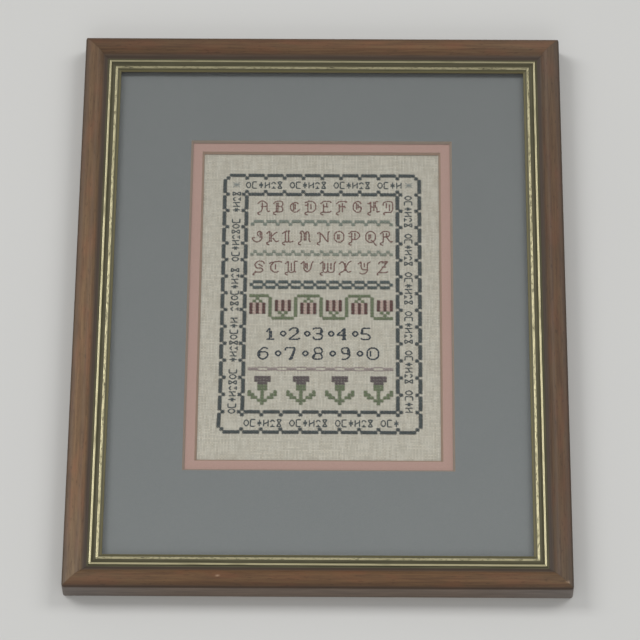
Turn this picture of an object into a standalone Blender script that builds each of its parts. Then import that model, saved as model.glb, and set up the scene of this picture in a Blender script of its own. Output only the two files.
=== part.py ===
"""Framed cross stitch sampler, lying on its back with its face up.

Four mitred moulding rails hold a glass pane, an outer mat, an inner mat, the
stitched linen and a backing board, one above the other in the rails' rebate.

Metres, +Z up, out of the picture's face. The picture's foot is towards -Y and
its long side runs along Y. The origin is under the middle of the frame, in the
plane of the rails' backs.
"""

import math

import bmesh
import bpy
from mathutils import Matrix, Vector

# Outside size of the frame
FRAME_WIDTH = 0.278
FRAME_HEIGHT = 0.354

# Air between pieces that meet
GAP = 0.0003

# Moulding, across its width: distances from the rail's outer side
REBATE_EDGE = 0.0151
SIGHT_EDGE = 0.0211
CROWN_AT = 0.0046
COVE_AT = 0.0130
OUTER_BEAD_AT = 0.01505
INNER_BEAD_AT = 0.01885

# Moulding, up from its back
SIDE_TOP = 0.0122
CROWN_TOP = 0.0142
COVE_FLOOR = 0.0103
OUTER_BEAD_TOP = 0.0111
INNER_BEAD_TOP = 0.0104
GROOVE_FLOOR = 0.00975

# How far the slope from crown to cove leans its steep stretch towards the cove
SLOPE_SKEW = 1.6
OUTER_BEAD_RADIUS = 0.00085
INNER_BEAD_RADIUS = 0.00095
BACK_ARRIS = 0.0006
NOSE_ARRIS = 0.0002
# How much the frame's four outer corners are worn back along their diagonals
CORNER_EASE = 0.0007

# Layers in the rebate, from the back to the front
BACK_RECESS = 0.0003
BACKING_THICKNESS = 0.0015
LINEN_THICKNESS = 0.001
MAT_THICKNESS = 0.0012
GLASS_THICKNESS = 0.002
GLASS_ARRIS = 0.0003

# Windows of the two mats, measured half way down their bevels
WINDOW_CENTRE_Y = 0.0037
OUTER_WINDOW = (0.1501, 0.2126)
INNER_WINDOW = (0.1370, 0.1993)
# How far a window's cutter reaches past the faces of its board
CUTTER_REACH = 0.002

# Heights of the layers' undersides
BACKING_Z = BACK_RECESS
LINEN_Z = BACKING_Z + BACKING_THICKNESS + GAP
INNER_MAT_Z = LINEN_Z + LINEN_THICKNESS + GAP
OUTER_MAT_Z = INNER_MAT_Z + MAT_THICKNESS + GAP
GLASS_Z = OUTER_MAT_Z + MAT_THICKNESS + GAP
LIP_UNDERSIDE = GLASS_Z + GLASS_THICKNESS + GAP

# Every layer is cut to the rebate, less the air round its edge
LAYER_WIDTH = FRAME_WIDTH - 2 * (REBATE_EDGE + GAP)
LAYER_HEIGHT = FRAME_HEIGHT - 2 * (REBATE_EDGE + GAP)

# Steps in each curved stretch of the moulding
CROWN_STEPS = 8
SLOPE_STEPS = 14
BEAD_STEPS = 8

WELD = 0.00001


def clear_scene():
    for obj in list(bpy.data.objects):
        bpy.data.objects.remove(obj, do_unlink=True)


def make_collection(name):
    collection = bpy.data.collections.new(name)
    bpy.context.scene.collection.children.link(collection)
    return collection


def make_material(name, colour, roughness, metallic=0.0, transmission=0.0):
    material = bpy.data.materials.new(name)
    material.use_nodes = True
    shader = material.node_tree.nodes["Principled BSDF"]
    shader.inputs["Base Color"].default_value = (*colour, 1.0)
    shader.inputs["Roughness"].default_value = roughness
    shader.inputs["Metallic"].default_value = metallic
    shader.inputs["Transmission Weight"].default_value = transmission
    return material


def arc(centre, half_width, rise, start, end, steps):
    """Points on an ellipse; angles run from the inward side, up over the top."""
    points = []
    for step in range(steps + 1):
        angle = math.radians(start + (end - start) * step / steps)
        points.append((centre[0] + half_width * math.cos(angle),
                       centre[1] + rise * math.sin(angle)))
    return points


def ogee(top, foot, skew, steps):
    """Points down a slope that starts level, steepens and ends level."""
    points = []
    for step in range(steps + 1):
        along = step / steps
        fall = (1 - math.cos(math.pi * along ** skew)) / 2
        points.append((top[0] + (foot[0] - top[0]) * along,
                       top[1] + (foot[1] - top[1]) * fall))
    return points


def moulding_outline():
    """The moulding's section, as (distance from the outer side, height)."""
    crown = arc((CROWN_AT, SIDE_TOP), CROWN_AT, CROWN_TOP - SIDE_TOP, 180, 90, CROWN_STEPS)
    slope = ogee((CROWN_AT, CROWN_TOP), (COVE_AT, COVE_FLOOR), SLOPE_SKEW, SLOPE_STEPS)
    outer_base = OUTER_BEAD_TOP - OUTER_BEAD_RADIUS
    outer_bead = arc((OUTER_BEAD_AT, outer_base), OUTER_BEAD_RADIUS, OUTER_BEAD_RADIUS,
                     170, 20, BEAD_STEPS)
    groove_start = OUTER_BEAD_AT + OUTER_BEAD_RADIUS
    groove_end = INNER_BEAD_AT - INNER_BEAD_RADIUS
    groove = [((groove_start + groove_end) / 2, GROOVE_FLOOR)]
    inner_base = INNER_BEAD_TOP - INNER_BEAD_RADIUS
    inner_bead = arc((INNER_BEAD_AT, inner_base), INNER_BEAD_RADIUS, INNER_BEAD_RADIUS,
                     150, 10, BEAD_STEPS)
    nose = [(SIGHT_EDGE - NOSE_ARRIS, inner_base - NOSE_ARRIS),
            (SIGHT_EDGE, inner_base - 2 * NOSE_ARRIS),
            (SIGHT_EDGE, LIP_UNDERSIDE)]
    rebate = [(REBATE_EDGE, LIP_UNDERSIDE), (REBATE_EDGE, 0.0)]
    back = [(BACK_ARRIS, 0.0), (0.0, BACK_ARRIS)]
    return (crown + slope[1:] + outer_bead + groove + inner_bead + nose + rebate + back)


def outline_curve(name, points, half_length):
    curve = bpy.data.curves.new(name, "CURVE")
    curve.dimensions = "2D"
    curve.fill_mode = "BOTH"
    curve.extrude = half_length
    spline = curve.splines.new("POLY")
    spline.points.add(len(points) - 1)
    for point, (across, up) in zip(spline.points, points):
        point.co = (across, up, 0.0, 1.0)
    spline.use_cyclic_u = True
    return bpy.data.objects.new(name, curve)


def cut_away(mesh, point, normal):
    """Cut off what lies beyond the plane and close the cut."""
    everything = mesh.verts[:] + mesh.edges[:] + mesh.faces[:]
    cut = bmesh.ops.bisect_plane(mesh, geom=everything, plane_co=point, plane_no=normal,
                                 clear_outer=True)
    rim = [part for part in cut["geom_cut"] if isinstance(part, bmesh.types.BMEdge)]
    bmesh.ops.contextual_create(mesh, geom=rim)


def make_rail(name, collection, material, length, turn, outer_side):
    """One mitred rail: a moulding cut at 45 degrees at each end."""
    stick = outline_curve(name + "_stick", moulding_outline(), length / 2)
    collection.objects.link(stick)
    bpy.context.view_layer.update()
    evaluated = stick.evaluated_get(bpy.context.evaluated_depsgraph_get())
    mesh = bpy.data.meshes.new_from_object(evaluated)
    bpy.data.objects.remove(stick, do_unlink=True)

    shape = bmesh.new()
    shape.from_mesh(mesh)
    bmesh.ops.remove_doubles(shape, verts=shape.verts, dist=WELD)
    # The stick's length goes along X, its width along Y and its height along Z
    along_x = Matrix(((0, 0, 1, 0), (1, 0, 0, 0), (0, 1, 0, 0), (0, 0, 0, 1)))
    bmesh.ops.transform(shape, matrix=along_x, verts=shape.verts)
    for side in (-1, 1):
        corner = Vector((side * length / 2, 0.0, 0.0))
        mitre = Vector((side, 1, 0)).normalized()
        diagonal = Vector((side, -1, 0)).normalized()
        cut_away(shape, corner - mitre * GAP / 2, mitre)
        cut_away(shape, corner - diagonal * CORNER_EASE, diagonal)
    bmesh.ops.recalc_face_normals(shape, faces=shape.faces)
    shape.to_mesh(mesh)
    shape.free()

    mesh.name = name
    rail = bpy.data.objects.new(name, mesh)
    rail.rotation_euler = (0.0, 0.0, math.radians(turn))
    rail.location = outer_side
    rail.data.materials.append(material)
    collection.objects.link(rail)


def make_rails(collection):
    wood = make_material("stained_wood", (0.17, 0.10, 0.065), 0.4)
    half_width = FRAME_WIDTH / 2
    half_height = FRAME_HEIGHT / 2
    make_rail("rail_bottom", collection, wood, FRAME_WIDTH, 0, (0, -half_height, 0))
    make_rail("rail_right", collection, wood, FRAME_HEIGHT, 90, (half_width, 0, 0))
    make_rail("rail_top", collection, wood, FRAME_WIDTH, 180, (0, half_height, 0))
    make_rail("rail_left", collection, wood, FRAME_HEIGHT, 270, (-half_width, 0, 0))


def block(name, collection, size, centre):
    """A box whose size is in its mesh, placed by its centre."""
    mesh = bpy.data.meshes.new(name)
    shape = bmesh.new()
    bmesh.ops.create_cube(shape, size=1.0)
    bmesh.ops.scale(shape, vec=size, verts=shape.verts)
    shape.to_mesh(mesh)
    shape.free()
    obj = bpy.data.objects.new(name, mesh)
    obj.location = centre
    collection.objects.link(obj)
    return obj


def make_layer(name, collection, material, underside, thickness):
    """A flat board or sheet that fills the rebate from side to side."""
    layer = block(name, collection, (LAYER_WIDTH, LAYER_HEIGHT, thickness),
                  (0, 0, underside + thickness / 2))
    layer.data.materials.append(material)
    return layer


def cut_window(board, cutters, window):
    """Cut a window whose four sides slope outwards at 45 degrees to the front."""
    depth = MAT_THICKNESS + 2 * CUTTER_REACH
    cutter = block(board.name + "_window", cutters, (1.0, 1.0, depth),
                   (0, WINDOW_CENTRE_Y, board.location.z))
    for vertex in cutter.data.vertices:
        vertex.co.x *= window[0] + 2 * vertex.co.z
        vertex.co.y *= window[1] + 2 * vertex.co.z
    cutter.hide_render = True
    cutter.display_type = "WIRE"
    cut = board.modifiers.new("window", "BOOLEAN")
    cut.operation = "DIFFERENCE"
    cut.solver = "EXACT"
    cut.object = cutter


def make_backing_board(collection):
    card = make_material("brown_card", (0.26, 0.19, 0.12), 0.85)
    make_layer("backing_board", collection, card, BACKING_Z, BACKING_THICKNESS)


def make_linen(collection):
    cloth = make_material("natural_linen", (0.43, 0.37, 0.31), 0.9)
    make_layer("linen", collection, cloth, LINEN_Z, LINEN_THICKNESS)


def make_inner_mat(collection, cutters):
    pink_board = make_material("pink_mat_board", (0.38, 0.26, 0.22), 0.85)
    mat = make_layer("inner_mat", collection, pink_board, INNER_MAT_Z, MAT_THICKNESS)
    cut_window(mat, cutters, INNER_WINDOW)


def make_outer_mat(collection, cutters):
    grey_board = make_material("grey_mat_board", (0.19, 0.20, 0.20), 0.85)
    mat = make_layer("outer_mat", collection, grey_board, OUTER_MAT_Z, MAT_THICKNESS)
    cut_window(mat, cutters, OUTER_WINDOW)


def make_glass(collection):
    clear_glass = make_material("clear_glass", (0.9, 0.93, 0.91), 0.02, transmission=1.0)
    pane = make_layer("glass_pane", collection, clear_glass, GLASS_Z, GLASS_THICKNESS)
    arris = pane.modifiers.new("arris", "BEVEL")
    arris.width = GLASS_ARRIS
    arris.segments = 1


def main():
    clear_scene()
    sampler = make_collection("framed_cross_stitch_sampler")
    cutters = make_collection("window_cutters")
    make_backing_board(sampler)
    make_linen(sampler)
    make_inner_mat(sampler, cutters)
    make_outer_mat(sampler, cutters)
    make_glass(sampler)
    make_rails(sampler)


main()
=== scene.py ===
"""Looks of the framed cross stitch sampler: stained and gilded rails, picture glass, two
paper-faced mats, evenweave linen and every stitch on it.

Metres, +Z out of the picture's face, the picture's foot towards -Y. Places on the cloth are
counted in stitches from the chart's top left one, u to the right and v down.
"""

import math
import random

import bmesh
import bpy
from mathutils import Euler, Matrix, Vector, noise


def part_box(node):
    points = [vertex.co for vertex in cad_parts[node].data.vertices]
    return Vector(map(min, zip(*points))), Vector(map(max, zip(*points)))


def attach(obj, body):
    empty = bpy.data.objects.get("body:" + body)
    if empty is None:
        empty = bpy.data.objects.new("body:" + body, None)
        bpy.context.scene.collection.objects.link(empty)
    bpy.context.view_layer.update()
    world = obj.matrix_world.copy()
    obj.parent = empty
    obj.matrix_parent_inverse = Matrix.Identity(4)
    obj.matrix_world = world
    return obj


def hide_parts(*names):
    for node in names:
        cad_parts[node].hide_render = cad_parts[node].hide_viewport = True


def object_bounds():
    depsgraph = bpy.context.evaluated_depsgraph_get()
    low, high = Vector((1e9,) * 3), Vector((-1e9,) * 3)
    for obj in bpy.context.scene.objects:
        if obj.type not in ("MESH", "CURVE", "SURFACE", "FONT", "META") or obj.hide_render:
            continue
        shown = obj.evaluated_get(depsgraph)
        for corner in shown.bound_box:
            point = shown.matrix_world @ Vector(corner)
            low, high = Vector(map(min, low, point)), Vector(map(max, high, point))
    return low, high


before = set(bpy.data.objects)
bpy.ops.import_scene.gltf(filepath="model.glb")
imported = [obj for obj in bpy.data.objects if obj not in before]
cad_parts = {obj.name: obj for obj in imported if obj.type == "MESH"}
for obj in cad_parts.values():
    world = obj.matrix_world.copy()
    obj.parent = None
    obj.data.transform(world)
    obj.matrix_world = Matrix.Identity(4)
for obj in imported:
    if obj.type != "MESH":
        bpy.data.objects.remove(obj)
cad_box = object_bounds()

MM = 0.001
GAP = 0.3 * MM
HALF_WIDTH = cad_box[1].x
HALF_HEIGHT = cad_box[1].y
CLOTH_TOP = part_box("linen")[1].z
CLOTH_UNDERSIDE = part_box("linen")[0].z
LIP_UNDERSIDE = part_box("glass_pane")[1].z + GAP

# The moulding across its width, from its outer side, and up from its back
CROWN_AT = 4.6 * MM
COVE_AT = 13.0 * MM
REBATE_EDGE = 15.1 * MM
SIGHT_EDGE = 21.1 * MM
OUTER_BEAD_AT = 14.75 * MM
INNER_BEAD_AT = 18.45 * MM
OUTER_BEAD_RADIUS = 0.85 * MM
INNER_BEAD_RADIUS = 0.95 * MM
SIDE_TOP = 12.2 * MM
CROWN_TOP = cad_box[1].z
COVE_FLOOR = 10.3 * MM
OUTER_BEAD_TOP = 11.1 * MM
INNER_BEAD_TOP = 10.4 * MM
GROOVE_FLOOR = 9.75 * MM
SLOPE_SKEW = 1.6
BACK_ARRIS = 0.6 * MM
NOSE_ARRIS = 0.2 * MM
NOSE_FALL = 0.35 * MM
CORNER_RADIUS = 1.6 * MM
MITRE_HAIRLINE = 0.03 * MM
RAIL_STEP = 1.6 * MM
SHARP_ANGLE = math.radians(38)

# More corners than any one piece has while it is made
MOST_CORNERS = 100000

# The mats' windows, measured half way down their bevels
WINDOW_CENTRE_Y = 3.7 * MM
OUTER_WINDOW = (150.1 * MM, 212.6 * MM)
INNER_WINDOW = (137.0 * MM, 199.3 * MM)

# The stitches: one covers two threads of the linen each way
STITCH = 1.811 * MM
CHART_COLUMNS = 63
CHART_ROWS = 93
CHART_CENTRE = (0.53 * MM, 5.50 * MM)
LINEN_THREAD = STITCH / 2

# The cloth was pulled aside at the chart's lower left corner: from this row on and up to this
# column, by this many squares at the most
PULL_FROM_ROW = 74
PULL_ROWS = 18
PULL_COLUMNS = 40
PULL_SQUARES = 0.45

# A strand's sides and steps along it, and how deep its ends go into the cloth
STRAND_SIDES = 6
STRAND_STEPS = 5
STRAND_DIVE = 0.12 * MM


# Shader arithmetic

class Link:
    """One output of a shader node. Arithmetic on it adds Math nodes."""

    def __init__(self, finish, socket):
        self.finish = finish
        self.socket = socket

    def math(self, operation, *values):
        return self.finish.node("Math", {"operation": operation}, dict(enumerate(values)))

    def __add__(self, other):
        return self.math("ADD", self, other)

    def __radd__(self, other):
        return self.math("ADD", other, self)

    def __sub__(self, other):
        return self.math("SUBTRACT", self, other)

    def __rsub__(self, other):
        return self.math("SUBTRACT", other, self)

    def __mul__(self, other):
        return self.math("MULTIPLY", self, other)

    def __rmul__(self, other):
        return self.math("MULTIPLY", other, self)

    def __truediv__(self, other):
        return self.math("DIVIDE", self, other)

    def __abs__(self):
        return self.math("ABSOLUTE", self)

    def larger(self, other):
        return self.math("MAXIMUM", self, other)

    def smaller(self, other):
        return self.math("MINIMUM", self, other)

    def floor(self):
        return self.math("FLOOR", self)

    def part(self):
        return self.math("FRACT", self)

    def cosine(self):
        return self.math("COSINE", self)

    def root(self):
        return self.math("SQRT", self)

    def step(self, low, high):
        """0 below low, 1 above high, and a smooth rise between them."""
        return self.finish.node("MapRange", {"interpolation_type": "SMOOTHSTEP"},
                                {"Value": self, "From Min": low, "From Max": high})

    def near(self, middle, reach, edge):
        """1 within reach of middle, and 0 further off than reach and edge."""
        return 1 - abs(self - middle).step(reach, reach + edge)


class Finish:
    """A material under construction, with one method that adds any node to it."""

    MIX_COLOURS = {"data_type": "RGBA", "clamp_factor": True}
    MIX_FACTOR, MIX_A, MIX_B, MIX_RESULT = 0, 6, 7, 2

    def __init__(self, name):
        self.material = bpy.data.materials.new(name)
        self.material.use_nodes = True
        self.material.node_tree.nodes.clear()

    def node(self, kind, settings=None, sockets=None, output=0):
        tree = self.material.node_tree
        made = tree.nodes.new("ShaderNode" + kind)
        for key, value in (settings or {}).items():
            setattr(made, key, value)
        for key, value in (sockets or {}).items():
            if isinstance(value, Link):
                tree.links.new(value.socket, made.inputs[key])
            else:
                made.inputs[key].default_value = value
        return Link(self, made.outputs[output]) if made.outputs else None

    def place(self):
        return self.node("TexCoord", output="Object")

    def attribute(self, name, output="Vector"):
        return self.node("Attribute", {"attribute_name": name}, output=output)

    def split(self, vector):
        """The vector's three parts."""
        first = self.node("SeparateXYZ", {}, {0: vector})
        return [Link(self, output) for output in first.socket.node.outputs]

    def join(self, x, y, z):
        return self.node("CombineXYZ", {}, {0: x, 1: y, 2: z})

    def stretch(self, vector, *scale):
        return self.node("VectorMath", {"operation": "MULTIPLY"}, {0: vector, 1: scale})

    def speckle(self, vector, scale=1.0, detail=2.0, roughness=0.5, distortion=0.0):
        """Soft random patches from 0 to 1, with scale of them to a unit of the vector."""
        return self.node("TexNoise", {}, {"Vector": vector, "Scale": scale, "Detail": detail,
                                          "Roughness": roughness, "Distortion": distortion})

    def blend(self, factor, first, second):
        return self.node("Mix", self.MIX_COLOURS,
                         {self.MIX_FACTOR: factor, self.MIX_A: first, self.MIX_B: second},
                         self.MIX_RESULT)

    def tint(self, colour, factors):
        """The colour with each channel multiplied by the factor for it."""
        return self.node("Mix", dict(self.MIX_COLOURS, blend_type="MULTIPLY"),
                         {self.MIX_FACTOR: 1.0, self.MIX_A: colour, self.MIX_B: factors},
                         self.MIX_RESULT)

    def shade(self, colour, amount):
        """The colour made amount times as bright."""
        return self.tint(colour, self.join(amount, amount, amount))

    def relief(self, height, depth):
        """A bumped normal, where depth is what a height of 1 stands for."""
        return self.node("Bump", {}, {"Height": height, "Distance": depth, "Strength": 1.0})

    def surface(self, sockets):
        return self.node("BsdfPrincipled", {}, sockets)

    def done(self, shader):
        self.node("OutputMaterial", {}, {"Surface": shader})
        return self.material


def paint(red, green, blue):
    """A colour given as it looks, from 0 to 255, as the shader's own linear one."""
    def linear(level):
        share = level / 255
        return share / 12.92 if share <= 0.04045 else ((share + 0.055) / 1.055) ** 2.4
    return (linear(red), linear(green), linear(blue), 1.0)


# Finishes

def moulding_finish():
    """Brown stained wood, a dark cove, and two worn gilt beads with a dull groove between."""
    finish = Finish("stained_and_gilded_wood")
    stick = finish.attribute("stick")
    across, up = finish.split(stick)[1:]
    from_mitre = finish.attribute("from_mitre", "Fac")

    def grain(lengthways, crossways, detail=2.0, roughness=0.5, distortion=0.0):
        """Random patches along the stick, with this many of them to the metre each way."""
        drawn_out = finish.stretch(stick, lengthways, crossways, crossways)
        return finish.speckle(drawn_out, 1.0, detail, roughness, distortion)

    streaks = grain(36, 900, 5.0, 0.62, 0.4)
    streaky = streaks.step(0.3, 0.7)
    pores = grain(160, 3600)
    patches = grain(45, 130, 3.0, 0.55)
    bands = grain(9, 260)
    flecks = grain(230, 1000)
    specks = grain(420, 1500, 3.0, 0.6)
    rub = grain(60, 400)

    # The stain, uneven along the grain and dark in the pores
    brown = finish.blend(streaks.step(0.32, 0.68), paint(91, 64, 43), paint(111, 82, 55))
    reddish = finish.blend(patches.step(0.42, 0.68) * 0.44, brown, paint(118, 74, 50))
    stained = finish.blend(bands.step(0.45, 0.75) * 0.3, reddish, paint(82, 62, 42))
    stained = finish.blend(pores.step(0.60, 0.72) * 0.30, stained, paint(58, 41, 30))
    stained = finish.blend(flecks.step(0.60, 0.70) * 0.40, stained, paint(62, 43, 29))

    # Each stick's tone, partly its own stain and partly painted light with a painted bluish sheen,
    # and one corner darker
    stained = finish.tint(stained, finish.attribute("tint"))
    x, y = finish.split(finish.place())[:2]
    from_left, from_head = x + HALF_WIDTH, HALF_HEIGHT - y
    from_dark_corner = (from_left * from_left + from_head * from_head).root()
    stained = finish.shade(stained, 0.78 + 0.28 * from_dark_corner.step(0.0, 190 * MM))
    # Painted shade where the outer edge rounds over and turns away, darkest on its arris, over a
    # stain that is darker at the edge too
    rounded_edge = 1 - across.step(0.8 * MM, 4.0 * MM)
    stained = finish.blend(rounded_edge * 0.42, stained, paint(60, 45, 34))
    dark_edge = 1 - across.step(0.2 * MM, 1.1 * MM)
    stained = finish.blend(dark_edge * 0.6, stained, paint(52, 40, 32))
    # Painted light on the flat outer side: a paler, greyer sheen laid over the grain
    side = 1 - up.step(SIDE_TOP - 1.6 * MM, SIDE_TOP)
    painted_side_light = finish.blend(streaky, paint(116, 103, 93), paint(142, 126, 113))
    stained = finish.blend(side * 0.7, stained, painted_side_light)
    greyer = (1 - from_mitre.step(0.0, 50 * MM)) * from_dark_corner.step(20 * MM, 110 * MM)
    stained = finish.tint(stained, finish.join(1.0, 1 + 0.12 * greyer, 1 + 0.27 * greyer))

    # The cove darkened towards its floor, partly a darker stain and partly painted shade in the
    # hollow; then dull gilt from its fillet to the nose
    toward_cove = across.step(9.4 * MM, COVE_AT - 0.8 * MM)
    stained = finish.blend(toward_cove * 0.9, stained, paint(62, 49, 38))
    dull_gilt = finish.blend(streaky, paint(77, 74, 54), paint(96, 92, 70))
    fillet = across.step(COVE_AT - 0.3 * MM, COVE_AT + 0.3 * MM)
    nose = across.step(SIGHT_EDGE - 1.5 * MM, SIGHT_EDGE - 0.5 * MM)
    dull_gilt = finish.blend(nose * 0.75, dull_gilt, paint(112, 106, 72))
    front = up.step(LIP_UNDERSIDE + 0.05 * MM, LIP_UNDERSIDE + 0.2 * MM)
    coloured = finish.blend(fillet, stained, dull_gilt)

    # Bright leaf on the two beads, worn and chipped
    outer_gilt = across.near(OUTER_BEAD_AT, 0.42 * MM, 0.30 * MM)
    inner_gilt = across.near(INNER_BEAD_AT + 0.10 * MM, 0.55 * MM, 0.45 * MM)
    wear = specks.step(0.50, 0.64) * 0.70 * inner_gilt + rub.step(0.55, 0.74) * 0.35
    chip = finish.attribute("chip", "Fac")
    gilt = outer_gilt.larger(inner_gilt) * (1 - wear) * (1 - chip) * front
    leaf = finish.blend(rub, paint(209, 202, 167), paint(195, 187, 146))
    # Painted shade: the leaf is made darker towards the head, standing in for its dimmer
    # reflections there
    painted_gilt_shade = 0.78 + 0.22 * from_head.step(15 * MM, 150 * MM)
    coloured = finish.blend(gilt, coloured, finish.shade(leaf, painted_gilt_shade))

    # Bare wood on the back and in the rebate, then the joints and the scuffs
    raw = finish.blend(streaky, paint(150, 118, 84), paint(178, 148, 110))
    hidden = (1 - up.step(0.05 * MM, 0.5 * MM)).larger(
        across.step(REBATE_EDGE - 0.1 * MM, REBATE_EDGE) * (1 - front))
    coloured = finish.blend(hidden, coloured, raw)
    joint_line = 1 - from_mitre.step(0.02 * MM, 0.22 * MM)
    coloured = finish.blend(joint_line * 0.2, coloured, paint(46, 36, 29))
    coloured = finish.blend(finish.attribute("scuff", "Fac"), coloured, paint(176, 148, 122))

    metal = gilt.larger(fillet * front * 0.35)
    satin = 0.52 + 0.14 * streaks
    roughness = satin + metal * (0.36 + 0.15 * specks - satin)
    height = streaks * 0.35 + pores * 0.45 + specks * gilt * 0.8
    return finish.done(finish.surface({
        "Base Color": coloured,
        "Metallic": metal * 0.85,
        "Roughness": roughness,
        "Specular IOR Level": 0.34,
        "Coat Weight": (1 - metal) * (1 - hidden) * 0.06,
        "Coat Roughness": 0.28,
        "Normal": finish.relief(height, 0.05 * MM)}))


def glass_finish():
    """Clear glass that mirrors more at a slant, up to a cap that keeps its far face clear."""
    finish = Finish("clear_glass")
    smears = finish.speckle(finish.stretch(finish.place(), 14, 9, 1), 1.0, 3.0)
    mirror = finish.node("BsdfGlossy", {}, {"Roughness": 0.02 + 0.02 * smears,
                                           "Color": (0.95, 0.97, 0.96, 1.0)})
    clear = finish.node("BsdfTransparent", {}, {"Color": (0.965, 0.98, 0.97, 1.0)})
    slant = finish.node("Fresnel", {}, {"IOR": 1.45}).smaller(0.09)
    return finish.done(finish.node("MixShader", {}, {0: slant, 1: clear, 2: mirror}))


def mat_finish(name, window, thickness, face, face_deep, core, head_shade_per_metre):
    """Paper-faced board: a fibrous face colour and a brownish core on the window's bevel.

    The last argument is how much painted shade darkens the face towards the head, and lightens it
    towards the foot, for each metre.
    """
    finish = Finish(name)
    place = finish.place()
    x, y = finish.split(place)[:2]
    beside = (abs(x) - window[0] / 2).larger(abs(y - WINDOW_CENTRE_Y) - window[1] / 2)
    on_face = beside.step(thickness * 0.44, thickness * 0.52)
    fibres = finish.speckle(finish.stretch(place, 900, 2300, 900), 1.0, 4.0, 0.65, 0.6)
    clouds = finish.speckle(place, 26.0, 2.0)
    flecks = finish.speckle(place, 1500.0, 1.0)
    colour = finish.blend(fibres.step(0.3, 0.7) * 0.6 + clouds * 0.4, face, face_deep)
    # Painted shade: the face is darker towards the head and lighter towards the foot, with its own
    # flecks
    colour = finish.shade(colour, (0.94 + 0.10 * flecks) * (1 - head_shade_per_metre * y))
    plies = finish.speckle(finish.stretch(place, 300, 300, 5200), 1.0, 3.0)
    cut = finish.shade(core, 0.86 + 0.24 * plies)
    return finish.done(finish.surface({
        "Base Color": finish.blend(on_face, cut, colour),
        "Roughness": 0.86 + 0.1 * fibres,
        "Specular IOR Level": 0.25,
        "Normal": finish.relief(fibres * 0.6 + flecks * 0.5, 0.03 * MM)}))


def card_finish():
    """Plain brown card with long pale and dark fibres."""
    finish = Finish("brown_card")
    place = finish.place()
    fibres = finish.speckle(finish.stretch(place, 260, 1500, 400), 1.0, 5.0, 0.7, 1.2)
    clouds = finish.speckle(place, 18.0, 3.0)
    flecks = finish.speckle(place, 1100.0, 1.0).step(0.66, 0.74)
    colour = finish.blend(fibres.step(0.3, 0.7), paint(142, 115, 84), paint(168, 140, 106))
    colour = finish.blend(flecks * 0.5, colour, paint(98, 76, 54))
    return finish.done(finish.surface({
        "Base Color": finish.shade(colour, 0.90 + 0.2 * clouds),
        "Roughness": 0.88 + 0.08 * fibres,
        "Normal": finish.relief(fibres, 0.05 * MM)}))


def linen_finish():
    """Evenweave linen: threads over and under one another, each a little uneven in colour."""
    finish = Finish("natural_linen")
    x, y = finish.split(finish.place())[:2]
    across = x / LINEN_THREAD
    down = y / LINEN_THREAD

    def rounded(place):
        """A thread's height across its width: 1 along its middle, 0 at its sides."""
        off_middle = place.part() * 2 - 1
        return (1 - off_middle * off_middle).root()

    warp_round, weft_round = rounded(across), rounded(down)
    warp_wave = (math.pi * (down - 0.5 + across.floor())).cosine()
    weft_wave = (math.pi * (across - 0.5 + down.floor() + 1)).cosine()
    warp_height = warp_round * (0.62 + 0.38 * warp_wave)
    weft_height = weft_round * (0.62 + 0.38 * weft_wave)
    height = warp_height.larger(weft_height)
    warp_shows = (warp_height - weft_height).step(-0.1, 0.1)

    warp_slub = finish.speckle(finish.join(across.floor() * 0.61, down * 0.09, 3.0), 1.0, 3.0)
    weft_slub = finish.speckle(finish.join(across * 0.09, down.floor() * 0.61, 8.0), 1.0, 3.0)
    warp_colour = finish.blend(warp_slub.step(0.3, 0.7),
                               paint(197, 184, 170), paint(226, 216, 206))
    weft_colour = finish.blend(weft_slub.step(0.3, 0.7),
                               paint(200, 192, 182), paint(226, 216, 204))
    colour = finish.blend(warp_shows, weft_colour, warp_colour)
    fibres = finish.speckle(finish.place(), 5200.0, 2.0)
    clouds = finish.speckle(finish.place(), 38.0, 2.0)
    # Painted shade where the threads dip under each other, with the fibres' and clouds' own tones;
    # then painted shade that darkens the cloth towards the head
    light = 0.66 + 0.30 * height.step(0.1, 0.75) + 0.06 * fibres + 0.06 * clouds
    colour = finish.shade(colour, light * (1 - 0.4 * y))
    return finish.done(finish.surface({
        "Base Color": colour,
        "Roughness": 0.90 + 0.06 * fibres,
        "Specular IOR Level": 0.2,
        "Normal": finish.relief(height + fibres * 0.12, 0.16 * MM)}))


def thread_finish(name, colour, shadow_colour):
    """Stranded cotton: plies that twist along each stitch, with a soft shine."""
    finish = Finish(name)
    round_cos, round_sin, along = finish.split(finish.attribute("ply"))
    turn = finish.node("Math", {"operation": "ARCTAN2"}, {0: round_sin, 1: round_cos})
    plies = (turn * 2 + along * 26).cosine() * 0.5 + 0.5
    dye = finish.speckle(finish.place(), 420.0, 2.0)
    lint = finish.speckle(finish.place(), 6000.0, 1.0)
    # Painted shade between the plies and where each stitch goes down into the cloth, mixed with the
    # dye's own unevenness
    dive = (abs(along) * 2).step(0.62, 1.0)
    depth = (1 - plies) * 0.45 + (1 - dye) * 0.3 + dive * 0.6
    mixed = finish.blend(depth, colour, shadow_colour)
    return finish.done(finish.surface({
        "Base Color": finish.shade(mixed, 0.88 + 0.2 * lint),
        "Roughness": 0.62 + 0.2 * lint,
        "Specular IOR Level": 0.35,
        "Normal": finish.relief(plies, 0.05 * MM)}))


def floor_finish():
    """A pale, matt table top."""
    finish = Finish("pale_table")
    clouds = finish.speckle(finish.place(), 5.0, 2.0)
    return finish.done(finish.surface({
        "Base Color": finish.blend(clouds, paint(217, 217, 215), paint(220, 220, 218)),
        "Roughness": 0.85}))


# Pieces

def add_piece(name, mesh, material, replaces=()):
    """Put a finished mesh in the scene on the frame's one body."""
    piece = bpy.data.objects.new(name, mesh)
    bpy.context.scene.collection.objects.link(piece)
    mesh.materials.clear()
    mesh.materials.append(material)
    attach(piece, "root")
    if replaces:
        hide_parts(*replaces)
    return piece


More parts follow.
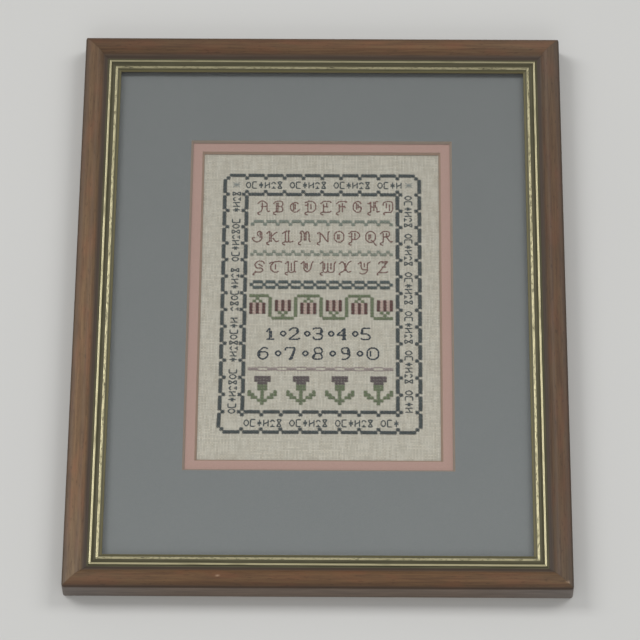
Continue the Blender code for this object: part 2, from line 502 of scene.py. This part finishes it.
def finish_node(node, material):
    """Give a piece of the frame that keeps its own shape a better material."""
    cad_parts[node].data.materials.clear()
    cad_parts[node].data.materials.append(material)


def arc(centre, half_width, rise, start, end, steps):
    """Points on an ellipse; angles run from the inward side, up over the top."""
    angles = [math.radians(start + (end - start) * step / steps) for step in range(steps + 1)]
    return [(centre[0] + half_width * math.cos(angle), centre[1] + rise * math.sin(angle))
            for angle in angles]


def ogee(top, foot, skew, steps):
    """Points down a slope that starts level, steepens and ends level."""
    points = []
    for step in range(steps + 1):
        share = step / steps
        fall = (1 - math.cos(math.pi * share ** skew)) / 2
        points.append((top[0] + (foot[0] - top[0]) * share, top[1] + (foot[1] - top[1]) * fall))
    return points


def moulding_section():
    """The moulding's section, as (distance from the outer side, height)."""
    crown = arc((CROWN_AT, SIDE_TOP), CROWN_AT, CROWN_TOP - SIDE_TOP, 180, 90, 16)
    slope = ogee((CROWN_AT, CROWN_TOP), (COVE_AT, COVE_FLOOR), SLOPE_SKEW, 26)
    outer_base = OUTER_BEAD_TOP - OUTER_BEAD_RADIUS
    outer_bead = arc((OUTER_BEAD_AT, outer_base),
                     OUTER_BEAD_RADIUS, OUTER_BEAD_RADIUS, 170, 20, 14)
    inner_base = INNER_BEAD_TOP - INNER_BEAD_RADIUS
    inner_bead = arc((INNER_BEAD_AT, inner_base),
                     INNER_BEAD_RADIUS, INNER_BEAD_RADIUS, 150, 10, 14)
    groove_at = (OUTER_BEAD_AT + OUTER_BEAD_RADIUS + INNER_BEAD_AT - INNER_BEAD_RADIUS) / 2
    groove = [(groove_at, GROOVE_FLOOR)]
    nose = [(SIGHT_EDGE - NOSE_ARRIS, inner_base - NOSE_FALL),
            (SIGHT_EDGE, inner_base - NOSE_FALL - NOSE_ARRIS),
            (SIGHT_EDGE, LIP_UNDERSIDE)]
    rebate = [(REBATE_EDGE, LIP_UNDERSIDE), (REBATE_EDGE, 0.0)]
    back = [(BACK_ARRIS, 0.0), (0.0, BACK_ARRIS)]
    return crown + slope[1:] + outer_bead + groove + inner_bead + nose + rebate + back


def by_corners(part):
    """An edge's or a face's place among the others, from the numbers of its corners."""
    corners = [vertex.index for vertex in part.verts]
    return min(corners) * MOST_CORNERS + max(corners)


def settle(shape):
    """Put edges and faces in one order, because spin and bisect leave another each run."""
    shape.verts.index_update()
    shape.edges.sort(key=by_corners)
    shape.faces.sort(key=by_corners)


def cut_away(shape, point, normal):
    """Cut off what lies beyond the plane and close the cut."""
    everything = shape.verts[:] + shape.edges[:] + shape.faces[:]
    cut = bmesh.ops.bisect_plane(shape, geom=everything, plane_co=point, plane_no=normal,
                                 clear_outer=True)
    shape.verts.index_update()
    rim = [part for part in cut["geom_cut"] if isinstance(part, bmesh.types.BMEdge)]
    bmesh.ops.contextual_create(shape, geom=sorted(rim, key=by_corners))
    settle(shape)


def score(shape, point, normal):
    """Add a ring of edges where the plane passes, so that the piece can curve there."""
    everything = shape.verts[:] + shape.edges[:] + shape.faces[:]
    bmesh.ops.bisect_plane(shape, geom=everything, plane_co=point, plane_no=normal)
    settle(shape)


def round_corner(vertex, half_length):
    """Draw a rail's sharp tip back onto the frame's rounded corner."""
    centre_along = half_length - CORNER_RADIUS
    along, across = abs(vertex.co.x), vertex.co.y
    if along > centre_along and across < CORNER_RADIUS:
        out = Vector((along - centre_along, CORNER_RADIUS - across))
        if out.length > CORNER_RADIUS:
            out *= CORNER_RADIUS / out.length
            vertex.co.x = math.copysign(centre_along + out.x, vertex.co.x)
            vertex.co.y = CORNER_RADIUS - out.y


def uneven_gilding(vertex, seed):
    """Beads that were run on by hand swell and thin a little along their length."""
    across = vertex.co.y
    on_beads = OUTER_BEAD_AT - OUTER_BEAD_RADIUS < across < SIGHT_EDGE - NOSE_ARRIS
    if on_beads and vertex.co.z > LIP_UNDERSIDE + NOSE_ARRIS:
        ripple = noise.noise(Vector((vertex.co.x * 90, across * 400, seed)))
        vertex.co.z += 0.04 * MM * ripple
        vertex.co.y += 0.035 * MM * noise.noise(Vector((vertex.co.x * 55, 7.0, seed)))


# Damage that shows, by rail: along it from its middle, across it, and how far it reaches
CHIPS = {"top": [(18 * MM, 18.9 * MM, 0.8 * MM)],
         "right": [(-133 * MM, 18.7 * MM, 0.9 * MM), (40 * MM, 19.0 * MM, 0.6 * MM)],
         "bottom": [(12 * MM, 15.1 * MM, 0.7 * MM)],
         "left": [(52 * MM, 18.8 * MM, 0.8 * MM), (-75 * MM, 18.9 * MM, 0.7 * MM)]}
SCUFFS = {"top": [],
          "right": [(-174 * MM, 3.0 * MM, 1.1 * MM)],
          "bottom": [(-54.5 * MM, 6.3 * MM, 0.9 * MM), (135.8 * MM, 4.0 * MM, 1.3 * MM)],
          "left": []}

# How much lighter or darker each stick is, in red, green and blue: partly how it took the stain,
# and partly painted light and a painted bluish sheen, strongest on the left rail
STAIN_AND_LIGHT_TINTS = {"top": (1.10, 1.16, 1.22), "right": (0.88, 1.00, 1.18),
               "bottom": (1.02, 1.03, 0.99), "left": (1.48, 1.71, 1.96)}


def damage(spots, along, across):
    """How much of a spot of damage there is here, from 0 to 1."""
    worst = 0.0
    for spot_along, spot_across, reach in spots:
        away = math.hypot(along - spot_along, across - spot_across)
        worst = max(worst, 1 - away / reach)
    return worst


def make_rail(side, length, turn, outer_side, material, seed):
    """One mitred rail: the moulding's section run out along X, cut, worn and put in place."""
    steps = round(length / RAIL_STEP)
    shape = bmesh.new()
    ends = [shape.verts.new((-length / 2, across, up)) for across, up in moulding_section()]
    outline = [shape.edges.new(pair) for pair in zip(ends, ends[1:] + ends[:1])]
    bmesh.ops.spin(shape, geom=outline, axis=(0, 0, 1), dvec=(length / steps, 0, 0), steps=steps)
    settle(shape)
    for side_sign in (-1, 1):
        corner = Vector((side_sign * length / 2, 0.0, 0.0))
        mitre = Vector((side_sign, 1, 0)).normalized()
        cut_away(shape, corner - mitre * MITRE_HAIRLINE / 2, mitre)
        for inset in (0.25, 0.6, 1.0, 1.5):
            score(shape, corner - Vector((side_sign * inset * CORNER_RADIUS, 0, 0)), (1, 0, 0))
    bmesh.ops.recalc_face_normals(shape, faces=shape.faces)

    stick = shape.verts.layers.float_vector.new("stick")
    from_mitre = shape.verts.layers.float.new("from_mitre")
    chip = shape.verts.layers.float.new("chip")
    scuff = shape.verts.layers.float.new("scuff")
    tint = shape.verts.layers.float_vector.new("tint")
    for vertex in shape.verts:
        along, across, up = vertex.co
        on_top = up > LIP_UNDERSIDE
        vertex[stick] = (along + seed, across, up)
        vertex[tint] = STAIN_AND_LIGHT_TINTS[side]
        vertex[from_mitre] = (length / 2 - abs(along) - across) / math.sqrt(2)
        vertex[chip] = damage(CHIPS[side], along, across) if on_top else 0.0
        vertex[scuff] = damage(SCUFFS[side], along, across) if on_top else 0.0
        uneven_gilding(vertex, seed)
        round_corner(vertex, length / 2)
    put = Matrix.Translation(outer_side) @ Matrix.Rotation(math.radians(turn), 4, "Z")
    bmesh.ops.transform(shape, matrix=put, verts=shape.verts)
    mesh = bpy.data.meshes.new(side + "_rail")
    shape.to_mesh(mesh)
    shape.free()
    mesh.shade_smooth()
    mesh.set_sharp_from_angle(angle=SHARP_ANGLE)
    return add_piece(side + "_rail", mesh, material, ["rail_" + side])


def make_rails():
    wood = moulding_finish()
    width, height = 2 * HALF_WIDTH, 2 * HALF_HEIGHT
    make_rail("bottom", width, 0, (0, -HALF_HEIGHT, 0), wood, 0.0)
    make_rail("right", height, 90, (HALF_WIDTH, 0, 0), wood, 1.7)
    make_rail("top", width, 180, (0, HALF_HEIGHT, 0), wood, 3.1)
    make_rail("left", height, 270, (-HALF_WIDTH, 0, 0), wood, 4.6)


def make_layers():
    """The boards and the pane, which keep the frame's own shapes."""
    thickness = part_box("outer_mat")[1].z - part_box("outer_mat")[0].z
    grey = mat_finish("grey_mat_board", OUTER_WINDOW, thickness, face=paint(141, 141, 144),
                      face_deep=paint(133, 134, 137), core=paint(166, 147, 135), head_shade_per_metre=0.62)
    pink = mat_finish("pink_mat_board", INNER_WINDOW, thickness, face=paint(204, 166, 158),
                      face_deep=paint(196, 156, 148), core=paint(176, 146, 130), head_shade_per_metre=0.30)
    finish_node("outer_mat", grey)
    finish_node("inner_mat", pink)
    finish_node("glass_pane", glass_finish())
    finish_node("backing_board", card_finish())


def make_linen():
    """The stretched cloth: a thin sheet, a little uneven, that fills the rebate."""
    low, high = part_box("linen")
    shape = bmesh.new()
    bmesh.ops.create_grid(shape, x_segments=88, y_segments=116, size=0.5)
    bmesh.ops.scale(shape, vec=(high.x - low.x, high.y - low.y, 1), verts=shape.verts)
    bmesh.ops.translate(shape, vec=(0, 0, CLOTH_TOP), verts=shape.verts)
    for vertex in shape.verts:
        vertex.co.z += cloth_ripple(vertex.co.x, vertex.co.y)
    mesh = bpy.data.meshes.new("linen_cloth")
    shape.to_mesh(mesh)
    shape.free()
    mesh.shade_smooth()
    cloth = add_piece("linen_cloth", mesh, linen_finish(), ["linen"])
    body = cloth.modifiers.new("thickness", "SOLIDIFY")
    body.thickness = CLOTH_TOP - CLOTH_UNDERSIDE - 0.2 * MM
    body.offset = -1.0
    return cloth


def cloth_ripple(x, y):
    """How far the cloth lies below its highest level: it is pulled tight, but not quite flat."""
    return -0.10 * MM * (0.5 + 0.5 * noise.noise(Vector((x * 30, y * 22, 0.5))))


# Stitching

def cloth_point(u, v):
    """Where the middle of chart square (u, v) lies on the cloth, with the cloth's slight pull."""
    low_down = max(0.0, (v - PULL_FROM_ROW) / PULL_ROWS) ** 2
    pull = -PULL_SQUARES * low_down * max(0.0, 1 - u / PULL_COLUMNS)
    x = CHART_CENTRE[0] + (u + pull - (CHART_COLUMNS - 1) / 2) * STITCH
    y = CHART_CENTRE[1] - (v - (CHART_ROWS - 1) / 2) * STITCH
    return x, y, CLOTH_TOP + cloth_ripple(x, y)


def strand_mesh(name, radius, rise):
    """A short strand 1 long on X that comes up out of the cloth, crosses and goes down again."""
    shape = bmesh.new()
    ring = bmesh.ops.create_circle(shape, radius=radius, segments=STRAND_SIDES)["verts"]
    turned = Matrix.Translation((-0.5, 0, 0)) @ Matrix.Rotation(math.pi / 2, 4, "Y")
    bmesh.ops.transform(shape, matrix=turned, verts=ring)
    bmesh.ops.spin(shape, geom=shape.edges[:], axis=(0, 0, 1),
                   dvec=(1 / STRAND_STEPS, 0, 0), steps=STRAND_STEPS)
    settle(shape)
    bmesh.ops.holes_fill(shape, edges=[edge for edge in shape.edges if edge.is_boundary])
    bmesh.ops.recalc_face_normals(shape, faces=shape.faces)
    ply = shape.verts.layers.float_vector.new("ply")
    for vertex in shape.verts:
        along, side, up = vertex.co
        vertex[ply] = (side / radius, up / radius, along)
        nearness = 1 - (2 * abs(along)) ** 2.2
        swell = 0.72 + 0.33 * nearness
        vertex.co.y = side * swell
        vertex.co.z = up * swell * 0.85 + (rise + STRAND_DIVE) * nearness - STRAND_DIVE
    mesh = bpy.data.meshes.new(name)
    shape.to_mesh(mesh)
    shape.free()
    mesh.shade_smooth()
    return mesh


def lay_strands(sewn, strand, start, end, offsets, rng):
    """Add copies of a strand side by side from start to end, each a little different."""
    start, end = Vector(start), Vector(end)
    run = end - start
    turn = math.atan2(run.y, run.x)
    aside = Vector((-math.sin(turn), math.cos(turn), 0))
    for offset in offsets:
        middle = (start + end) / 2 + aside * (offset + rng.gauss(0, 0.02 * MM))
        middle.z += rng.gauss(0, 0.015 * MM)
        lean = Euler((rng.uniform(-0.4, 0.4), 0, turn + rng.gauss(0, 0.02)))
        size = (run.length * rng.uniform(0.96, 1.04),
                rng.uniform(0.92, 1.1), rng.uniform(0.95, 1.05))
        copy = strand.copy()
        copy.transform(Matrix.LocRotScale(middle, lean, size))
        sewn.from_mesh(copy)
        bpy.data.meshes.remove(copy)


def sew(name, material, squares=(), lines=(), reach=0.48, line_offsets=(-0.16 * MM, 0.16 * MM)):
    """One colour's stitches as one piece: crosses on chart squares, and backstitched lines.

    reach is how far each cross goes out from its middle, in squares, as it was pulled tight or
    left full.
    """
    rng = random.Random(name)
    sewn = bmesh.new()
    pair = (-0.62 * MM * reach, 0.62 * MM * reach)
    for u, v in sorted(squares):
        lay_strands(sewn, UNDER_STRAND, cloth_point(u - reach, v + reach),
                    cloth_point(u + reach, v - reach), pair, rng)
        lay_strands(sewn, OVER_STRAND, cloth_point(u + reach, v + reach),
                    cloth_point(u - reach, v - reach), pair, rng)
    for start, end in lines:
        lay_strands(sewn, LINE_STRAND, cloth_point(*start), cloth_point(*end), line_offsets, rng)
    mesh = bpy.data.meshes.new(name)
    sewn.to_mesh(mesh)
    sewn.free()
    mesh.shade_smooth()
    return add_piece(name, mesh, material)


def backstitches(points):
    """Split a line through the cloth's holes into stitches about one square long."""
    stitches = []
    for (u0, v0), (u1, v1) in zip(points, points[1:]):
        count = max(1, round(max(abs(u1 - u0), abs(v1 - v0))))
        for step in range(count):
            first, last = step / count, (step + 1) / count
            stitches.append(((u0 + (u1 - u0) * first, v0 + (v1 - v0) * first),
                             (u0 + (u1 - u0) * last, v0 + (v1 - v0) * last)))
    return stitches


def drawn(strokes, origin, scale=(1.0, 1.0), turn=0):
    """Backstitches for a figure whose strokes are written as pairs of hex digits, right and down.

    The figure's top left corner is at the hole origin. turn is in quarter turns.
    """
    stitches = []
    for stroke in strokes.split():
        points = []
        for pair in stroke.split("-"):
            right, down = int(pair[0], 16) * scale[0], int(pair[1], 16) * scale[1]
            for _ in range(turn % 4):
                right, down = -down, right
            points.append((origin[0] + right - 0.5, origin[1] + down - 0.5))
        stitches += backstitches(points)
    return stitches


# Ornamental capitals and numerals, drawn in half stitches: eight down to the line they stand
# on, and ten down to the foot of a tail
CAPITALS = {
    "A": "02-11-20-40-62-67-78-87 31-36-28-18-09-1a-2a 24-64",
    "B": "02-11-20-50-61-63-54-34 54-65-67-58-28-18-09-1a-2a 21-28 31-38",
    "C": "62-51-31-13-16-38-58-76 42-46 31-37",
    "D": "01-11-20-50-72-76-58-28-18-09-1a-2a 21-28 42-46 03-23",
    "E": "02-11-20-60-71 22-28-18-09-1a-2a 28-68-77 24-54 41-44",
    "F": "02-11-20-70-61 22-28-18-09-1a-2a 41-48 24-64 65-53",
    "G": "62-50-30-12-16-38-58-66-64-44 42-45 31-36",
    "H": "01-12-20-28-18-09-1a-2a 40-47 24-54-65-68-87 54-50-70",
    "I": "03-01-20-50-61-66-58-38-18-09-1a 42-47 21-25",
    "J": "71-50-42-54 71-76-58-38-16-15-25-35 61-65",
    "K": "02-11-20-28-18-09-1a-2a 31-38 34-61-71 45-68-87",
    "L": "02-11-20-28-18-09-1a-2a 40-48 28-68-77 20-50",
    "M": "12-20-30-42-47 42-60-72-77-88 21-27-18-09-1a-2a 51-57",
    "N": "02-11-21-28-18-09-1a-2a 21-67 32-78 80-71-78",
    "O": "30-50-72-76-58-38-16-12-30 42-46 32-36",
    "P": "02-11-20-50-72-74-56-26 21-28-18-09-1a-2a 41-46 04-24",
    "Q": "30-50-72-76-58-38-16-12-30 42-45 46-68-7a-8a 32-36",
    "R": "02-11-20-50-61-63-44-24 21-28-18-09-1a-2a 44-67-78-87 41-44",
    "S": "72-60-30-12-13-25-55-66-67-58-28-17 32-64 28-09-0a-1a",
    "T": "02-11-70-81 31-13-16-38-58-67 42-46",
    "U": "02-11-20-27-38-58-67-60-70-80 41-47 28-18-09-1a-2a 67-78",
    "V": "02-11-20-26-48-66-71-80 41-46 31-35",
    "W": "02-11-20-27-38-48-57-51 57-68-88-97-92-a0 31-36 71-76 28-18-09-1a-2a",
    "X": "02-11-20-31-57-68-87 80-70-61-37-18-09-1a 34-54 41-47",
    "Y": "02-11-20-24-36-56 80-71-61-67-58-49-29-18 41-44 36-66",
    "Z": "12-20-70-61-27-18-28-68-77 34-64 31-61 18-09-1a",
}
NUMERALS = {
    "1": "13-30-38 42-47 18-68",
    "2": "02-20-50-62-63-08-68-77 51-53",
    "3": "01-10-50-62-63-44-65-66-58-18-06 24-44 51-53",
    "4": "50-05-65 50-58 41-48 38-68",
    "5": "60-10-04-44-66-58-18-07 11-14",
    "6": "61-50-30-03-06-28-48-66-64-53-13 12-16",
    "7": "02-00-60-38 61-48-28",
    "8": "20-50-62-63-54-24-12-11-20 24-06-07-18-58-67-66-54 15-17",
    "9": "54-24-12-11-20-50-62-66-48-18 51-55",
    "0": "20-50-72-76-58-28-06-02-20 22-26",
}
HALF = (0.5, 0.5)
DIAMOND = "10-01-12-21-10"
CORNER_MARK = "10-12 01-21 00-22 20-02 01-21"
# Small filling figures for the border's channel, two wide and three tall
CHANNEL_FIGURES = ["10-01-02-13-22-21-10", "00-20-03-23-00", "01-10-21 12-13 03-23",
                   "00-03 20-23 02-21", "10-13 01-22 21-02", "20-00-03-23"]


def ring(inset, corner, nudge):
    """Squares of a border ring. Every sixth one is set aside by nudge, inwards if positive."""
    last_u, last_v = CHART_COLUMNS - 1 - inset, CHART_ROWS - 1 - inset
    squares = set()
    for u in range(inset + corner, last_u - corner + 1):
        aside = nudge if u % 6 == 1 else 0
        squares |= {(u, inset + aside), (u, last_v - aside)}
    for v in range(inset + corner, last_v - corner + 1):
        aside = nudge if v % 6 == 1 else 0
        squares |= {(inset + aside, v), (last_u - aside, v)}
    return squares


def border_squares():
    last_u, last_v = CHART_COLUMNS - 1, CHART_ROWS - 1
    corners = {(1, 1), (last_u - 1, 1), (1, last_v - 1), (last_u - 1, last_v - 1)}
    return ring(0, 2, 1) | ring(7, 0, -1) | corners


def channel_figures():
    """Rows of small figures in groups, all the way round between the two rings."""
    pitch, scale = 2.0, (0.7, 0.78)
    stitches = []
    # Start, step along the channel, number of places, quarter turns, size of each group
    sides = [((7.3, 2.9), (1, 0), 25, 0, 7), ((8.3, 88.2), (1, 0), 24, 0, 7),
             ((3.1, 86.0), (0, -1), 40, 3, 9), ((60.1, 8.0), (0, 1), 39, 1, 7)]
    for (u, v), (along_u, along_v), places, turn, group in sides:
        for place in range(places):
            if place % group != group - 1:
                strokes = CHANNEL_FIGURES[(place * 5 + place // group) % len(CHANNEL_FIGURES)]
                origin = (u + along_u * pitch * place, v + along_v * pitch * place)
                stitches += drawn(strokes, origin, scale, turn)
    return stitches


def corner_marks():
    """Small eight-pointed marks in the channel's two upper corners."""
    return [stitch for u in (3, 58) for stitch in drawn(CORNER_MARK, (u, 3.0), (1.2, 1.0))]


def alphabet():
    """Ornamental capitals in three rows."""
    rows = [("ABCDEFGHI", 10, [11, 16, 21, 26, 31, 36, 41, 46, 51]),
            ("JKLMNOPQR", 21, [9, 14, 19, 24, 30, 35, 40, 45, 50]),
            ("STUVWXYZ", 32, [10, 15, 20, 25, 31, 37, 43, 49])]
    return [stitch for letters, top, starts in rows
            for letter, start in zip(letters, starts)
            for stitch in drawn(CAPITALS[letter], (start, top), HALF)]


def numeral_rows():
    """Two rows of numerals with a small diamond between each two."""
    stitches = []
    for digits, top, first, pitch in (("12345", 56, 14, 7.5), ("67890", 63, 12, 8.5)):
        for place, digit in enumerate(digits):
            start = first + pitch * place
            stitches += drawn(NUMERALS[digit], (start, top), HALF)
            if place:
                stitches += drawn(DIAMOND, (start - pitch / 2 + 1, top + 1))
    return stitches


def runs(row, first, last, length, pitch):
    """Squares of equal runs along a row, a run's start every pitch squares."""
    return {(u, row) for start in range(first, last + 1, pitch)
            for u in range(start, min(start + length, last + 1))}


def every(row, first, last, pitch):
    return {(u, row) for u in range(first, last + 1, pitch)}


def dipped_line():
    return runs(17, 10, 52, 3, 4) | every(18, 9, 53, 4)


def peaked_line():
    return every(28, 10, 52, 3) | runs(29, 11, 51, 2, 3) | {(9, 29), (53, 29)}


def chain_band():
    return runs(39, 10, 52, 3, 4) | runs(41, 10, 52, 3, 4) | every(40, 9, 53, 4)


HANGING_TULIPS = (11, 27, 43)
STANDING_TULIPS = (19, 35, 51)


def meander():
    """The green line that bends over and under the tulips, and their short stems."""
    squares = {(u, v) for u in (15, 23, 31, 39, 47) for v in range(45, 52)}
    squares |= {(u, 44) for start, end in ((9, 15), (24, 31), (40, 47)) for u in range(start, end)}
    squares |= {(u, 52) for start, end in ((16, 23), (32, 39), (48, 54)) for u in range(start, end)}
    for middle in HANGING_TULIPS:
        squares |= {(middle, 45), (middle - 1, 46), (middle + 1, 46)}
    for middle in STANDING_TULIPS:
        squares |= {(middle, 51), (middle - 1, 50), (middle + 1, 50)}
    return squares


def tulip_bars(asides):
    """Upright bars of the tulips, at these distances from each tulip's middle."""
    squares = {(middle + aside, v) for middle in HANGING_TULIPS for aside in asides
               for v in range(47, 51)}
    return squares | {(middle + aside, v) for middle in STANDING_TULIPS for aside in asides
                      for v in range(46, 50)}


def mauve_line():
    """Solid runs with open ones between, which are two fine lines."""
    squares = runs(70, 9, 53, 3, 6)
    lines = []
    for start in range(12, 53, 6):
        for v in (69.4, 70.5):
            lines += backstitches([(start - 0.5, v), (start + 2.5, v)])
    return squares, lines


THISTLES = (13, 25, 37, 49)
THISTLE_LEAVES = {78: (4,), 79: (3, 4), 80: (2, 3), 81: (0, 1)}


def thistle_heads():
    return {(middle + aside, v) for middle in THISTLES for v in (73, 74, 75)
            for aside in range(-2, 3) if v < 75 or abs(aside) < 2}


def thistle_greens():
    squares = set()
    for middle in THISTLES:
        squares |= {(middle + aside, v) for v in (76, 77) for aside in (-1, 0, 1)}
        squares |= {(middle, v) for v in range(78, 83)}
        for v, asides in THISTLE_LEAVES.items():
            squares |= {(middle + sign * aside, v) for aside in asides for sign in (-1, 1)}
    return squares


# The cottons, each in full light and down between its plies
COTTONS = {
    "slate_blue": ((92, 100, 103), (44, 51, 56)),
    "chain_blue": ((108, 119, 120), (60, 69, 72)),
    "dusty_rose": ((158, 113, 105), (98, 66, 62)),
    "grey_green": ((164, 170, 160), (120, 127, 118)),
    "pale_green": ((174, 177, 165), (132, 137, 127)),
    "leaf_green": ((146, 157, 122), (94, 103, 76)),
    "maroon": ((126, 78, 74), (70, 40, 40)),
    "pale_pink": ((234, 208, 200), (204, 174, 166)),
    "navy": ((60, 70, 84), (26, 32, 44)),
    "mauve": ((196, 178, 176), (156, 138, 138)),
    "thistle_purple": ((132, 115, 117), (78, 67, 71)),
    "pale_grey": ((178, 180, 178), (140, 142, 142)),
    "charcoal": ((88, 96, 100), (46, 52, 56)),
}


def stitch_sampler():
    """Sew each colour in turn and return the pieces."""
    cotton = {name: thread_finish(name + "_cotton", paint(*lit), paint(*deep))
              for name, (lit, deep) in COTTONS.items()}
    return [
        sew("border_stitches", cotton["slate_blue"], border_squares(), reach=0.54),
        sew("channel_stitches", cotton["charcoal"], lines=channel_figures(),
            line_offsets=(-0.13 * MM, 0.13 * MM)),
        sew("corner_mark_stitches", cotton["pale_grey"], lines=corner_marks(),
            line_offsets=(0.0,)),
        sew("alphabet_stitches", cotton["dusty_rose"], lines=alphabet()),
        sew("dipped_divider_stitches", cotton["grey_green"], dipped_line(), reach=0.51),
        sew("peaked_divider_stitches", cotton["pale_green"], peaked_line()),
        sew("chain_band_stitches", cotton["chain_blue"], chain_band(), reach=0.51),
        sew("meander_stitches", cotton["leaf_green"], meander()),
        sew("tulip_stitches", cotton["maroon"], tulip_bars((-2, 0, 2))),
        sew("tulip_filling_stitches", cotton["pale_pink"], tulip_bars((-1, 1))),
        sew("numeral_stitches", cotton["navy"], lines=numeral_rows(),
            line_offsets=(-0.26 * MM, 0.0, 0.26 * MM)),
        sew("mauve_divider_stitches", cotton["mauve"], *mauve_line()),
        sew("thistle_head_stitches", cotton["thistle_purple"], thistle_heads()),
        sew("thistle_leaf_stitches", cotton["leaf_green"], thistle_greens()),
    ]


# Table, light and camera

def make_floor():
    """A plain table top, far wider than the view."""
    shape = bmesh.new()
    bmesh.ops.create_grid(shape, x_segments=1, y_segments=1, size=4.0)
    mesh = bpy.data.meshes.new("table_top")
    shape.to_mesh(mesh)
    shape.free()
    mesh.materials.append(floor_finish())
    floor = bpy.data.objects.new("table_top", mesh)
    bpy.context.scene.collection.objects.link(floor)


def make_lamp(name, place, size, power):
    """A soft light that runs along X at this place and is turned down towards the picture."""
    lamp = bpy.data.lights.new(name, "AREA")
    lamp.shape = "RECTANGLE"
    lamp.size, lamp.size_y = size
    lamp.energy = power
    body = bpy.data.objects.new(name, lamp)
    body.location = place
    body.rotation_euler = Vector((0, place[1], place[2])).to_track_quat("Z", "Y").to_euler()
    bpy.context.scene.collection.objects.link(body)


def make_light():
    """A pale room, two long lamps over the picture's head and a window at its foot.

    The lamps leave a space between them, so that the glass mirrors neither.
    """
    world = bpy.data.worlds.new("pale_room")
    world.use_nodes = True
    sky = world.node_tree.nodes["Background"]
    sky.inputs["Color"].default_value = (1.0, 0.998, 0.985, 1.0)
    sky.inputs["Strength"].default_value = 0.42
    bpy.context.scene.world = world
    make_lamp("left_lamp", (-4.5, 2.4, 4.2), (4.4, 2.0), 166)
    make_lamp("right_lamp", (4.1, 2.4, 4.2), (4.4, 2.0), 116)
    make_lamp("foot_window", (0.0, -2.4, 1.5), (2.6, 1.0), 12)
    bpy.context.scene.view_settings.view_transform = "Standard"


def make_camera():
    """The photograph's view: a long lens from above the picture's foot."""
    aim = Vector((-0.02 * MM, -6.47 * MM, CLOTH_TOP))
    distance, azimuth, elevation, roll = 2.0426, 0.927, 61.339, -0.5405
    turned = (Matrix.Rotation(math.radians(azimuth), 4, "Z")
              @ Matrix.Rotation(math.radians(90 - elevation), 4, "X")
              @ Matrix.Rotation(math.radians(roll), 4, "Z"))
    lens = bpy.data.cameras.new("photographer")
    lens.sensor_width = 36.0
    lens.lens = 202.7
    camera = bpy.data.objects.new("photographer", lens)
    eye = aim + turned.to_3x3() @ Vector((0, 0, distance))
    camera.matrix_world = Matrix.Translation(eye) @ turned
    bpy.context.scene.collection.objects.link(camera)
    bpy.context.scene.camera = camera


make_camera()
make_light()
make_floor()
make_rails()
make_layers()
linen = make_linen()
UNDER_STRAND = strand_mesh("under_strand", 0.28 * MM, 0.16 * MM)
OVER_STRAND = strand_mesh("over_strand", 0.28 * MM, 0.44 * MM)
LINE_STRAND = strand_mesh("line_strand", 0.21 * MM, 0.16 * MM)
stitched = stitch_sampler()
